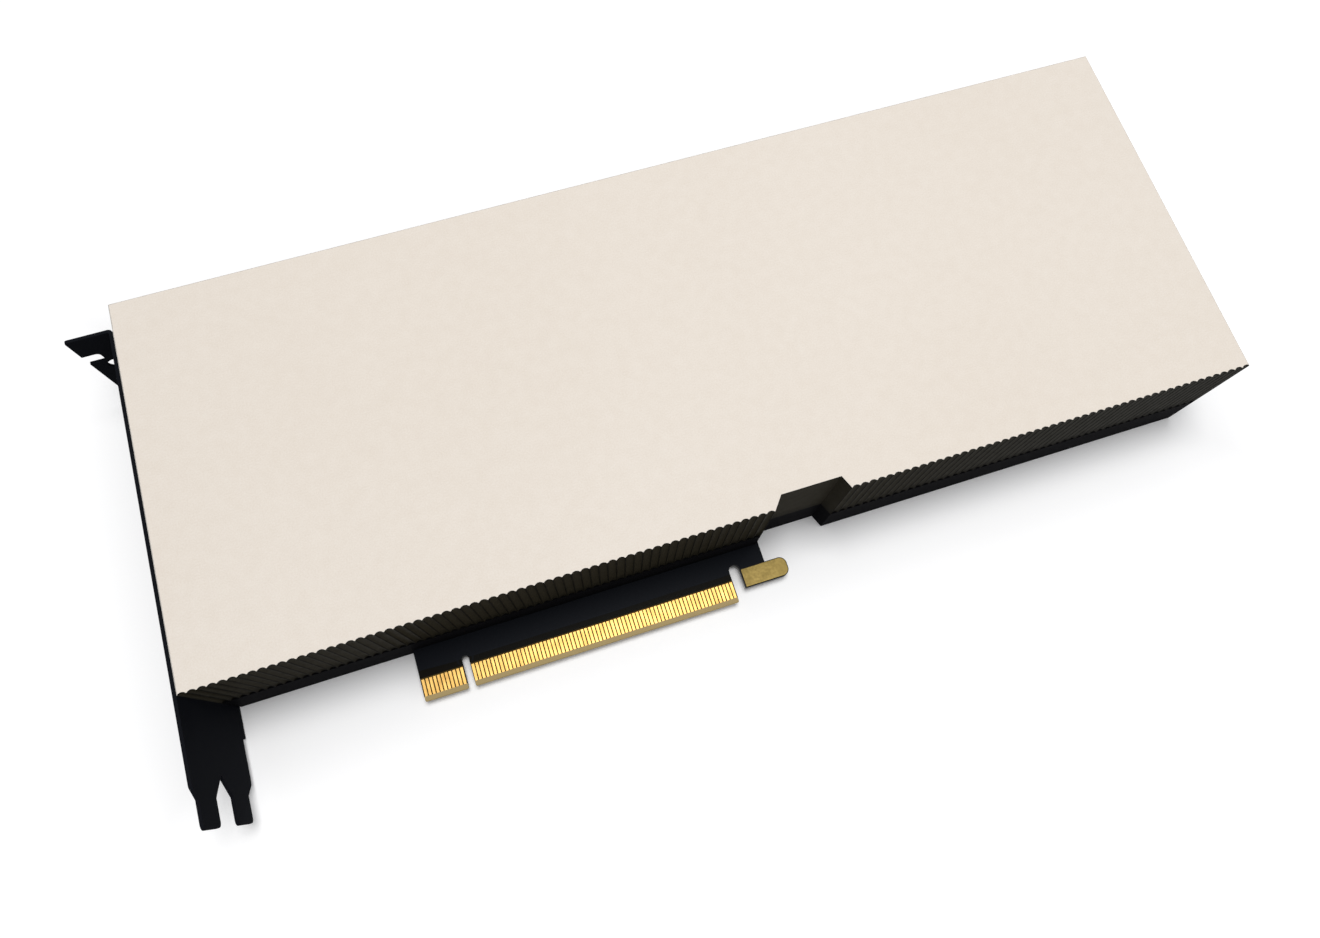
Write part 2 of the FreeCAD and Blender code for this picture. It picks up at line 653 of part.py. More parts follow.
# ================================================================ heat sink
def vapour_chamber():
    """Chamber with the pedestal that meets the chips and its clamping posts."""
    plate = block(CHIP_X, CHIP_Y, DECK_Z0, CHAMBER, CHAMBER, DECK_T)
    side = SUBSTRATE - 2 * RING_W - 2 * PEDESTAL_EDGE
    pedestal = block(CHIP_X, CHIP_Y, CHIP_TOP, side, side, DECK_Z0 - CHIP_TOP)
    post_h = DECK_Z0 - POST_BOARD_GAP
    posts = [block(x, y, POST_BOARD_GAP, CLAMP_POST, CLAMP_POST, post_h) for x, y in clamp_places()]
    body = plate.fuse([pedestal] + posts).removeSplitter()
    return body.cut([upright(x, y, POST_BOARD_GAP, SCREW_R, SCREW_BITE) for x, y in clamp_places()])


def fin_profile():
    """Comb-shaped section of the fin block, in Y and Z."""
    base_top = LEDGE_Z + FIN_BASE_T
    count = int((FIN_Y1 - FIN_Y0 - FIN_T) / FIN_PITCH) + 1
    points = [(FIN_Y0, LEDGE_Z)]
    for index in range(count):
        y = FIN_Y0 + index * FIN_PITCH
        if index:
            points.append((y, base_top))
        points.append((y, FIN_Z1))
        points.append((y + FIN_T, FIN_Z1))
        if index < count - 1:
            points.append((y + FIN_T, base_top))
    points.append((FIN_Y0 + (count - 1) * FIN_PITCH + FIN_T, LEDGE_Z))
    return points


def fin_block():
    """Full-length aluminium fins that stand on the deck and the chamber."""
    return side_prism(fin_profile(), FIN_X0, FIN_X1)


# ================================================================ parts on the board
def coil_places():
    """Power inductors in a column on either side of the package."""
    span = (COILS - 1) * COIL_PITCH
    rows = [CHIP_Y - span / 2 + i * COIL_PITCH for i in range(COILS)]
    return [(CHIP_X + side * COIL_OFFSET, y) for side in (-1, 1) for y in rows]


def inductors():
    """Moulded power inductors."""
    return group([block(x, y, 0, COIL, COIL, COIL_H) for x, y in coil_places()])


def power_stages():
    """Flat power transistors on the package side of the inductors."""
    stages = []
    for x, y in coil_places():
        side = 1 if x < CHIP_X else -1
        stages.append(block(x + side * STAGE_OFFSET, y, 0, STAGE_X, STAGE_Y, STAGE_H))
    return group(stages)


def capacitors():
    """Moulded polymer capacitors on the far side of the inductors."""
    capacitors_made = []
    for x, y in coil_places():
        side = -1 if x < CHIP_X else 1
        capacitors_made.append(block(x + side * CAP_OFFSET, y, 0, CAP_X, CAP_Y, CAP_H))
    return group(capacitors_made)


def heat_pads():
    """Soft strips between the inductors and the deck."""
    length = (COILS - 1) * COIL_PITCH + COIL
    return group([block(CHIP_X + s * COIL_OFFSET, CHIP_Y, COIL_H, COIL, length, PAD_T) for s in (-1, 1)])


def small_chips():
    """Controller and configuration memory near the bracket end."""
    x = COVER_X0 + END_WALL_T + CONTROLLER
    chips = [block(x, CHIP_Y, 0, CONTROLLER, CONTROLLER, SMALL_CHIP_H)]
    for row in (-1, 1):
        chips.append(block(x, CHIP_Y + row * 2 * CONTROLLER, 0, MEMORY_X, MEMORY_Y, SMALL_CHIP_H))
    return group(chips)


# ================================================================ power socket
def cell_places():
    """Y and Z of the socket's cells."""
    y0 = SOCKET_Y - (SOCKET_COLS - 1) * CELL_PITCH / 2
    z0 = SOCKET_H / 2 - (SOCKET_ROWS - 1) * CELL_PITCH / 2
    return [(y0 + c * CELL_PITCH, z0 + r * CELL_PITCH) for c in range(SOCKET_COLS) for r in range(SOCKET_ROWS)]


def power_socket():
    """Eight-way power socket that opens at the far end of the card."""
    half = SOCKET_W / 2
    body = box(SOCKET_X0, SOCKET_X1, SOCKET_Y - half, SOCKET_Y + half, 0, SOCKET_H)
    ramp = [(SOCKET_X1, SOCKET_H), (SOCKET_X1 - LATCH_L, SOCKET_H), (SOCKET_X1 - LATCH_L, SOCKET_H + LATCH_H)]
    face = Part.Face(polygon([V(x, SOCKET_Y - LATCH_W / 2, z) for x, z in ramp]))
    body = body.fuse(face.extrude(V(0, LATCH_W, 0)))
    cells = []
    for y, z in cell_places():
        cells.append(box(SOCKET_X1 - CELL_DEPTH, SOCKET_X1, y - CELL / 2, y + CELL / 2, z - CELL / 2, z + CELL / 2))
    return body.cut(cells)


def power_pins():
    """Square contact pins, one in each cell."""
    x0 = SOCKET_X1 - CELL_DEPTH
    return group([box(x0, x0 + PIN_L, y - PIN / 2, y + PIN / 2, z - PIN / 2, z + PIN / 2) for y, z in cell_places()])


# ================================================================ screws
def cover_screw_places():
    """Screws that pull the cover's corner posts down to the frame."""
    return [(x, y) for x in (COVER_X0 + POST / 2, COVER_X1 - POST / 2) for y in POST_Y]


def socket_below(x, y, z0):
    """Hexagon drive socket of a screw that is driven upwards from z0."""
    return prism(corners(x, y, DRIVE_R, 6), z0, z0 + DRIVE_DEPTH)


def backplate_screws():
    """Countersunk screws through backplate and board into the frame."""
    screws = []
    z0 = BACK_Z0 + FLAT_HEAD_SINK
    for x, y in standoff_places():
        head = tapered(x, y, z0, HEAD_R - FLAT_HEAD_SINK, SCREW_R, HEAD_H)
        shank = upright(x, y, z0 + HEAD_H, SCREW_R, SCREW_BITE - z0 - HEAD_H)
        screws.append(head.fuse(shank).removeSplitter().cut(socket_below(x, y, z0)))
    return group(screws)


def clamp_screws():
    """Screws that clamp the vapour chamber to the package."""
    screws = []
    head_z0 = -BOARD_T - HEAD_H
    for x, y in clamp_places():
        head = upright(x, y, head_z0, HEAD_R, HEAD_H)
        shank = upright(x, y, -BOARD_T, SCREW_R, BOARD_T + POST_BOARD_GAP + SCREW_BITE)
        screws.append(head.fuse(shank).cut(socket_below(x, y, head_z0)))
    return group(screws)


def cover_screws():
    """Screws from below the deck into the cover's corner posts."""
    screws = []
    head_z0 = DECK_Z0 - HEAD_H
    for x, y in cover_screw_places():
        head = upright(x, y, head_z0, HEAD_R, HEAD_H)
        shank = upright(x, y, DECK_Z0, SCREW_R, COVER_SCREW_TOP - DECK_Z0)
        screws.append(head.fuse(shank))
    return group(screws)


def bracket_screws():
    """Round-headed screws through the bracket into the frame and the posts."""
    screws = []
    head_x0 = PLATE_X0 - HEAD_H
    for y, z in lower_bracket_screws() + upper_bracket_screws():
        head = endwise(head_x0, y, z, HEAD_R, HEAD_H)
        shank = endwise(PLATE_X0, y, z, SCREW_R, SHEET_T + SCREW_BITE)
        socket = side_prism(corners(y, z, DRIVE_R, 6), head_x0, head_x0 + DRIVE_DEPTH)
        screws.append(head.fuse(shank).cut(socket))
    return group(screws)


NODES = {
    "cover": cover,
    "frame": frame,
    "circuit_board": circuit_board,
    "edge_contacts_front": lambda: edge_contacts(0.0),
    "edge_contacts_back": lambda: edge_contacts(-BOARD_T - PLATING_T),
    "hook_pads": hook_pads,
    "backplate": backplate,
    "back_pads": back_pads,
    "slot_bracket": bracket,
    "substrate": substrate,
    "processor_die": die,
    "memory_stacks": memory_stacks,
    "stiffener_ring": stiffener_ring,
    "vapour_chamber": vapour_chamber,
    "fin_block": fin_block,
    "inductors": inductors,
    "power_stages": power_stages,
    "capacitors": capacitors,
    "heat_pads": heat_pads,
    "small_chips": small_chips,
    "power_socket": power_socket,
    "power_pins": power_pins,
    "backplate_screws": backplate_screws,
    "clamp_screws": clamp_screws,
    "cover_screws": cover_screws,
    "bracket_screws": bracket_screws,
}

os.makedirs("parts", exist_ok=True)
for name, make in NODES.items():
    make().exportStep(f"parts/{name}.step")
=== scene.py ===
"""Looks of the passive accelerator card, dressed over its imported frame.

Lengths are metres in the card's own frame: X runs along the card away from the slot bracket,
Y from the edge connector across the card, and Z out of the component side, upwards.
"""
import logging
import math
from collections.abc import Callable
from dataclasses import dataclass, field
from enum import Enum

import bmesh
import bpy
from mathutils import Matrix, Vector


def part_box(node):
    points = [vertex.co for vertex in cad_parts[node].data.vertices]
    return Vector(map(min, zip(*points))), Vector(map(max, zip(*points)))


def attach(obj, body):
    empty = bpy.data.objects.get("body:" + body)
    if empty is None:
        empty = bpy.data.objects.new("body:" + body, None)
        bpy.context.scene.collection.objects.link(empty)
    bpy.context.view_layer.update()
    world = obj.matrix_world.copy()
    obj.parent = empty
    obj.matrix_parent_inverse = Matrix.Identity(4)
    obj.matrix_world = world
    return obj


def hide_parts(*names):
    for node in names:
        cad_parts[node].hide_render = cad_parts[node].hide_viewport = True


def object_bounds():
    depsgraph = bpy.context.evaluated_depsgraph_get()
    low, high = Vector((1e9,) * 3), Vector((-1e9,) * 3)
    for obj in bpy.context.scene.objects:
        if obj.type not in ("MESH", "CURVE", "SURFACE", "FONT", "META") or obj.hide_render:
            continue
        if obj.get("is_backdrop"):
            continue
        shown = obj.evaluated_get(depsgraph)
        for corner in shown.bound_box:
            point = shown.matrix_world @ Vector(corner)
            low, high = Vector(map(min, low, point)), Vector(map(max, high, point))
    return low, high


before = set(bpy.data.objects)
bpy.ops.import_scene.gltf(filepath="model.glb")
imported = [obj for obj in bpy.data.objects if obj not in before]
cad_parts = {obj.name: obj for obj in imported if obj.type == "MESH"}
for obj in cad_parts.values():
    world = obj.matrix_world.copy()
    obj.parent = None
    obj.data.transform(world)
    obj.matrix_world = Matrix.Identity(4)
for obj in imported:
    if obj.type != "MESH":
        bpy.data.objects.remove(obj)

MM = 0.001
WELD = 0.000002
UPRIGHT = 0.02 * MM
LOWEST = 0.05 * MM
SMOOTH_ANGLE = math.radians(35.0)
FLAT_ANGLE = math.radians(0.5)
LOG = logging.getLogger("accelerator_card")
Colour = tuple[float, float, float]


class Axis(Enum):
    """Direction in which a round piece faces."""

    ALONG = (0.0, math.radians(-90.0), 0.0)
    DOWN = (math.radians(180.0), 0.0, 0.0)


# ---------------------------------------------------------------- shader arithmetic
class Value:
    """A shader number that is written as ordinary arithmetic."""

    def __init__(self, graph: "Graph", socket: bpy.types.NodeSocket) -> None:
        """Wraps a socket.

        Args:
            graph: The node graph that the socket belongs to.
            socket: The output socket that gives the number.
        """
        self.graph = graph
        self.socket = socket

    def _math(self, operation: str, *others: "Value | float") -> "Value":
        """Adds a Math node.

        Args:
            operation: The Math node's operation.
            others: The second and third operands.

        Returns:
            The node's result.
        """
        inputs = {index: item for index, item in enumerate((self, *others))}
        return self.graph.value("ShaderNodeMath", {"operation": operation}, inputs)

    def __add__(self, other: "Value | float") -> "Value":
        """Sum."""
        return self._math("ADD", other)

    __radd__ = __add__

    def __sub__(self, other: "Value | float") -> "Value":
        """Difference."""
        return self._math("SUBTRACT", other)

    def __rsub__(self, other: float) -> "Value":
        """Difference from a plain number."""
        return self * -1.0 + other

    def __mul__(self, other: "Value | float") -> "Value":
        """Product."""
        return self._math("MULTIPLY", other)

    __rmul__ = __mul__

    def __truediv__(self, other: "Value | float") -> "Value":
        """Quotient."""
        return self._math("DIVIDE", other)

    def smallest(self, other: "Value | float") -> "Value":
        """The smaller of two numbers."""
        return self._math("MINIMUM", other)

    def largest(self, other: "Value | float") -> "Value":
        """The larger of two numbers."""
        return self._math("MAXIMUM", other)

    def size(self) -> "Value":
        """The number without its sign."""
        return self._math("ABSOLUTE")

    def root(self) -> "Value":
        """The number's square root."""
        return self._math("SQRT")

    def wrapped(self, period: float) -> "Value":
        """The number's distance from the nearest multiple of a period."""
        return (self / period - (self / period)._math("ROUND")).size() * period

    def above(self, edge: "Value | float", soft: float) -> "Value":
        """Mask that turns from 0 to 1 at an edge.

        Args:
            edge: The number where the mask is half.
            soft: Half the width of the turn.

        Returns:
            The mask.
        """
        settings = {"interpolation_type": "SMOOTHSTEP"}
        return self.graph.value("ShaderNodeMapRange", settings, {0: self - edge, 1: -soft, 2: soft})

    def below(self, edge: "Value | float", soft: float) -> "Value":
        """Mask that turns from 1 to 0 at an edge."""
        return 1.0 - self.above(edge, soft)

    def between(self, low: float, high: float, soft: float) -> "Value":
        """Mask of the numbers from low to high."""
        return self.above(low, soft) * self.below(high, soft)


class Graph:
    """The node graph of one material."""

    def __init__(self, name: str) -> None:
        """Starts an empty graph.

        Args:
            name: The material's name.
        """
        self.material = bpy.data.materials.new(name)
        self.material.use_nodes = True
        self.tree = self.material.node_tree
        self.tree.nodes.clear()

    def node(self, kind: str, settings: dict | None = None,
             inputs: dict | None = None) -> bpy.types.Node:
        """Adds a node.

        Args:
            kind: The node's type.
            settings: Its settings, set first.
            inputs: Values or links of its sockets, by name or number.

        Returns:
            The new node.
        """
        made = self.tree.nodes.new(kind)
        for key, item in (settings or {}).items():
            setattr(made, key, item)
        for key, item in (inputs or {}).items():
            if isinstance(item, Value):
                self.tree.links.new(item.socket, made.inputs[key])
            elif isinstance(item, bpy.types.NodeSocket):
                self.tree.links.new(item, made.inputs[key])
            else:
                made.inputs[key].default_value = item
        return made

    def value(self, kind: str, settings: dict | None = None, inputs: dict | None = None,
              output: int | str = 0) -> Value:
        """Adds a node and wraps one of its outputs."""
        return Value(self, self.node(kind, settings, inputs).outputs[output])

    def place(self) -> "Place":
        """The point on the piece, in millimetres of the card's frame."""
        where = self.node("ShaderNodeTexCoord").outputs["Object"]
        parts = self.node("ShaderNodeSeparateXYZ", None, {0: where})
        x, y, z = (Value(self, parts.outputs[index]) * 1000.0 for index in range(3))
        return Place(x, y, z, where)

    def facing(self) -> "Place":
        """The surface's direction on the piece."""
        turned = self.node("ShaderNodeTexCoord").outputs["Normal"]
        parts = self.node("ShaderNodeSeparateXYZ", None, {0: turned})
        x, y, z = (Value(self, parts.outputs[index]) for index in range(3))
        return Place(x, y, z, turned)

    def noise(self, where: bpy.types.NodeSocket, per_mm: float, detail: float = 2.0,
              stretch: Colour = (1.0, 1.0, 1.0)) -> Value:
        """Soft noise around one half.

        Args:
            where: The Object coordinates.
            per_mm: How many grains lie in a millimetre.
            detail: The noise's octaves.
            stretch: Factors along X, Y and Z, below 1 for long grains.

        Returns:
            The noise.
        """
        scaled = self.node("ShaderNodeMapping", None, {"Vector": where, "Scale": stretch})
        inputs = {"Vector": scaled.outputs[0], "Scale": per_mm * 1000.0, "Detail": detail}
        return self.value("ShaderNodeTexNoise", {"noise_dimensions": "3D"}, inputs)

    def blend(self, mask: Value, low: "Colour | bpy.types.NodeSocket",
              high: "Colour | bpy.types.NodeSocket") -> bpy.types.NodeSocket:
        """Mixes two colours by a mask.

        Args:
            mask: Share of the second colour.
            low: The colour where the mask is 0.
            high: The colour where the mask is 1.

        Returns:
            The mixed colour's socket.
        """
        pair = [(*item, 1.0) if isinstance(item, tuple) else item for item in (low, high)]
        mixed = self.node("ShaderNodeMix", {"data_type": "RGBA"}, {0: mask, 6: pair[0], 7: pair[1]})
        return mixed.outputs[2]

    def bump(self, height: Value, distance: float) -> bpy.types.NodeSocket:
        """Turns a height in the range 0 to 1 into a tilted normal.

        Args:
            height: The height.
            distance: What a height of 1 stands for, in metres.

        Returns:
            The normal's socket.
        """
        inputs = {"Strength": 1.0, "Distance": distance, "Height": height}
        return self.node("ShaderNodeBump", None, inputs).outputs["Normal"]

    def surface(self, inputs: dict) -> bpy.types.Material:
        """Closes the graph with one shader.

        Args:
            inputs: Values or links of the shader's sockets.

        Returns:
            The finished material.
        """
        shader = self.node("ShaderNodeBsdfPrincipled", None, inputs)
        self.node("ShaderNodeOutputMaterial", None, {"Surface": shader.outputs[0]})
        return self.material


@dataclass
class Place:
    """Three shader numbers and the vector that they come from."""

    x: Value
    y: Value
    z: Value
    vector: bpy.types.NodeSocket


# ---------------------------------------------------------------- finishes
@dataclass(frozen=True)
class CoverPaint:
    """Pale satin film on the face and edges, brown-black film on the fluted walls; painted shade darkens
    the face's tilted edges and the walls' cusps, top and feet, and a painted sheen greys the walls
    towards the far end.
    """

    face_z: float
    wall_y: float
    ledge_z: float
    # where the walls' painted sheen starts along the card, and how softly it turns in
    sheen_start_x: float = 145.0
    sheen_turn_half: float = 60.0
    pale: Colour = (0.83, 0.765, 0.695)
    pale_warm: Colour = (0.765, 0.69, 0.61)
    # painted shade: the colour of the face's tilted edge faces
    chamfer_shade: Colour = (0.60, 0.575, 0.54)
    wall: Colour = (0.027, 0.0232, 0.0150)
    # painted sheen: the colour that the walls turn to at the far end
    wall_painted_sheen: Colour = (0.064, 0.062, 0.055)
    # painted shade: the colour that the walls darken to
    wall_shade: Colour = (0.006, 0.0055, 0.0045)

    def make(self) -> bpy.types.Material:
        """Builds the material."""
        g = Graph("cover_paint")
        at = g.place()
        out = g.facing()
        fine = g.noise(at.vector, 2.6, 3.0)
        coarse = g.noise(at.vector, 0.35, 2.0)
        drift = g.noise(at.vector, 0.012, 1.0)
        mottle = (fine - 0.5) * 1.8 + (coarse - 0.5) * 0.7 + (drift - 0.5) * 0.5 + 0.45
        film = g.blend(mottle, self.pale, self.pale_warm)
        # painted shade: faces tilted away from the top, along the face's edges, are darkened
        slope = out.z.between(0.3, 0.95, 0.05)
        film = g.blend(slope * 0.8, film, self.chamfer_shade)
        top = at.z.above(self.face_z - 0.32, 0.01) * out.z.above(0.3, 0.1)
        # painted shade: the cusp lands facing out, the top of the walls under the face and the flute
        # feet by the ledge are darkened
        crest = at.y.below(self.wall_y + 0.10, 0.06) * out.y.below(-0.3, 0.3)
        rim = at.z.above(self.face_z - 0.75, 0.45)
        foot = at.z.below(self.ledge_z + 2.5, 3.5)
        painted_shade = (crest * 0.85).largest(rim * 0.8).largest(foot * 0.6)
        painted_shade = painted_shade.smallest(1.0)
        mottle_and_shade = (coarse - 0.5) * 0.5 + painted_shade
        # painted sheen: the fluted walls are painted greyer towards the far end, standing in for light
        # glancing off them
        walls = g.blend(at.x.above(self.sheen_start_x, self.sheen_turn_half), self.wall, self.wall_painted_sheen)
        # the walls are darkened by the painted shade, broken up by a coarse mottle
        walls = g.blend(mottle_and_shade, walls, self.wall_shade)
        colour = g.blend(top, walls, film)
        height = fine * 0.6 + coarse * 0.4
        return g.surface({
            "Base Color": colour,
            "Roughness": 0.52 + (coarse - 0.5) * 0.12 - top * 0.04,
            "Normal": g.bump(height, 0.00002),
            "Specular IOR Level": 0.006,
        })


@dataclass(frozen=True)
class BlackFilm:
    """Satin black film over metal, with a fine grain, a lighter mottle and a painted highlight on its
    sharp edges.
    """

    name: str
    colour: Colour
    # lighter colour of the random mottle, also used for the painted highlight on sharp edges
    mottle_and_edge_highlight: Colour
    roughness: float = 0.42
    grain_per_mm: float = 1.8
    grain_depth: float = 0.00001
    stretch: Colour = (1.0, 1.0, 1.0)
    gloss: float = 0.0014

    def make(self) -> bpy.types.Material:
        """Builds the material."""
        g = Graph(self.name)
        at = g.place()
        fine = g.noise(at.vector, self.grain_per_mm, 3.0, self.stretch)
        broad = g.noise(at.vector, 0.05, 2.0)
        # painted highlight: sharp convex edges are lightened
        edge_highlight = g.value("ShaderNodeNewGeometry", None, None, "Pointiness").above(0.56, 0.05)
        colour = g.blend((fine - 0.5) * 0.4 + (broad - 0.5) * 0.6 + 0.4, self.colour, self.mottle_and_edge_highlight)
        colour = g.blend(edge_highlight * 0.5, colour, self.mottle_and_edge_highlight)
        return g.surface({
            "Base Color": colour,
            "Roughness": self.roughness + (broad - 0.5) * 0.16 + (fine - 0.5) * 0.1,
            "Normal": g.bump(fine, self.grain_depth),
            "Specular IOR Level": self.gloss,
        })


@dataclass(frozen=True)
class BoardMask:
    """Black solder mask over copper, with bare laminate between and below the contacts."""

    finger_top: float = 5.6
    finger_end: float = 72.2
    pour_low: float = 7.7
    key_top: float = 7.6
    ring_in: float = 1.75
    ring_out: float = 2.25
    line_low: float = 7.55
    line_high: float = 7.9
    bevel: float = 1.3
    weave_pitch: float = 0.45
    mask: Colour = (0.0058, 0.0066, 0.0090)
    copper: Colour = (0.0085, 0.0100, 0.0135)
    gap: Colour = (0.060, 0.040, 0.012)
    laminate: Colour = (0.42, 0.32, 0.155)
    band: Colour = (0.0055, 0.0048, 0.0034)

    def make(self) -> bpy.types.Material:
        """Builds the material."""
        g = Graph("board")
        at = g.place()
        out = g.facing()
        fine = g.noise(at.vector, 1.2, 3.0)
        weave = at.x.wrapped(self.weave_pitch) * at.y.wrapped(self.weave_pitch) * 18.0
        broad = g.noise(at.vector, 0.06, 2.0)
        poured = at.y.above(self.pour_low + (broad - 0.5) * 1.5, 0.03)
        colour = g.blend((fine - 0.5) * 0.6 + 0.5, self.mask, self.copper)
        colour = g.blend(1.0 - poured, colour, self.band)
        above_key = at.y - self.key_top
        around = (at.x * at.x + above_key * above_key).root()
        ring = around.between(self.ring_in, self.ring_out, 0.08) * at.y.above(self.key_top - 1.2, 0.3)
        line = at.y.between(self.line_low, self.line_high, 0.06) * at.x.between(2.4, 70.5, 0.1)
        colour = g.blend(ring.largest(line) * 0.6, colour, self.copper)
        window = at.y.below(self.finger_top + 0.35, 0.05)
        window = window * at.x.below(self.finger_end, 0.05)
        foot = at.y.between(self.bevel - 0.05, self.bevel + 0.45, 0.12)
        between = g.blend(foot, self.gap, self.band)
        colour = g.blend(window, colour, between)
        bare = at.y.below(self.bevel + 0.02, 0.02) * window
        colour = g.blend(bare, colour, self.laminate)
        edge = (1.0 - out.z.size()).above(0.6, 0.1) * (1.0 - window)
        colour = g.blend(edge * 0.8, colour, self.band)
        return g.surface({
            "Base Color": colour,
            "Roughness": 0.34 + (fine - 0.5) * 0.12 + window * 0.15,
            "Normal": g.bump(fine * 0.4 + weave * 0.3 + poured * 0.6, 0.00002),
            "Specular IOR Level": 0.012,
        })


@dataclass(frozen=True)
class Plating:
    """Metal plating with a faint brushed grain."""

    name: str
    colour: Colour
    tarnish: Colour
    roughness: float
    grain_per_mm: float = 2.0
    stretch: Colour = (1.0, 0.08, 1.0)
    share: float = 0.4

    def make(self) -> bpy.types.Material:
        """Builds the material."""
        g = Graph(self.name)
        at = g.place()
        brushed = g.noise(at.vector, self.grain_per_mm, 3.0, self.stretch)
        blotch = g.noise(at.vector, 0.4, 2.0)
        dulled = (blotch - 0.5) * 1.2 + (brushed - 0.5) * 0.6 + self.share
        colour = g.blend(dulled, self.colour, self.tarnish)
        return g.surface({
            "Base Color": colour,
            "Metallic": 1.0,
            "Roughness": self.roughness + (brushed - 0.5) * 0.14 + (blotch - 0.5) * 0.1,
            "Normal": g.bump(brushed, 0.000006),
        })


@dataclass(frozen=True)
class Moulding:
    """Moulded plastic, rubber or laminate with a fine matte grain."""

    name: str
    colour: Colour
    second: Colour
    roughness: float
    grain_per_mm: float = 3.0
    grain_depth: float = 0.000012

    def make(self) -> bpy.types.Material:
        """Builds the material."""
        g = Graph(self.name)
        at = g.place()
        fine = g.noise(at.vector, self.grain_per_mm, 3.0)
        broad = g.noise(at.vector, 0.15, 2.0)
        mottle = (fine - 0.5) * 0.8 + (broad - 0.5) * 0.6 + 0.5
        return g.surface({
            "Base Color": g.blend(mottle, self.colour, self.second),
            "Roughness": self.roughness + (fine - 0.5) * 0.15,
            "Normal": g.bump(fine, self.grain_depth),
            "IOR": 1.5,
        })


@dataclass(frozen=True)
class FloorFilm:
    """Seamless white sweep whose glow for camera and glossy rays is weak beside the card, a painted
    shade that deepens the card's close shadow, and full away from it, where the sweep turns pure white.
    """

    low_x: float
    high_x: float
    low_y: float
    high_y: float
    colour: Colour = (0.93, 0.93, 0.94)
    # painted shade: the glow beside the card is kept low
    lift_in_painted_shade: float = 0.03
    far: float = 0.24
    reach: float = 38.0
    cloud_gain: float = 1.015

    def make(self) -> bpy.types.Material:
        """Builds the material."""
        g = Graph("floor")
        at = g.place()
        cloud = g.noise(at.vector, 0.004, 2.0)
        bright = tuple(min(1.0, part * self.cloud_gain) for part in self.colour)
        tone = g.blend(cloud, self.colour, bright)
        diffuse = g.node("ShaderNodeBsdfDiffuse", None, {"Color": tone})
        beside = (at.x - (self.low_x + self.high_x) / 2).size() - (self.high_x - self.low_x) / 2
        beyond = (at.y - (self.low_y + self.high_y) / 2).size() - (self.high_y - self.low_y) / 2
        away = beside.largest(beyond).above(self.reach / 2, self.reach / 2)
        path = g.node("ShaderNodeLightPath")
        seen = Value(g, path.outputs["Is Camera Ray"]).largest(Value(g, path.outputs["Is Glossy Ray"]))
        # painted shade: the glow is weak beside the card and rises to full away from it, deepening the
        # card's close shadow
        lift = self.lift_in_painted_shade + away * (self.far - self.lift_in_painted_shade)
        glow = g.node("ShaderNodeEmission", None, {"Strength": seen * lift})
        both = g.node("ShaderNodeAddShader", None, {0: diffuse.outputs[0], 1: glow.outputs[0]})
        g.node("ShaderNodeOutputMaterial", None, {"Surface": both.outputs[0]})
        return g.material


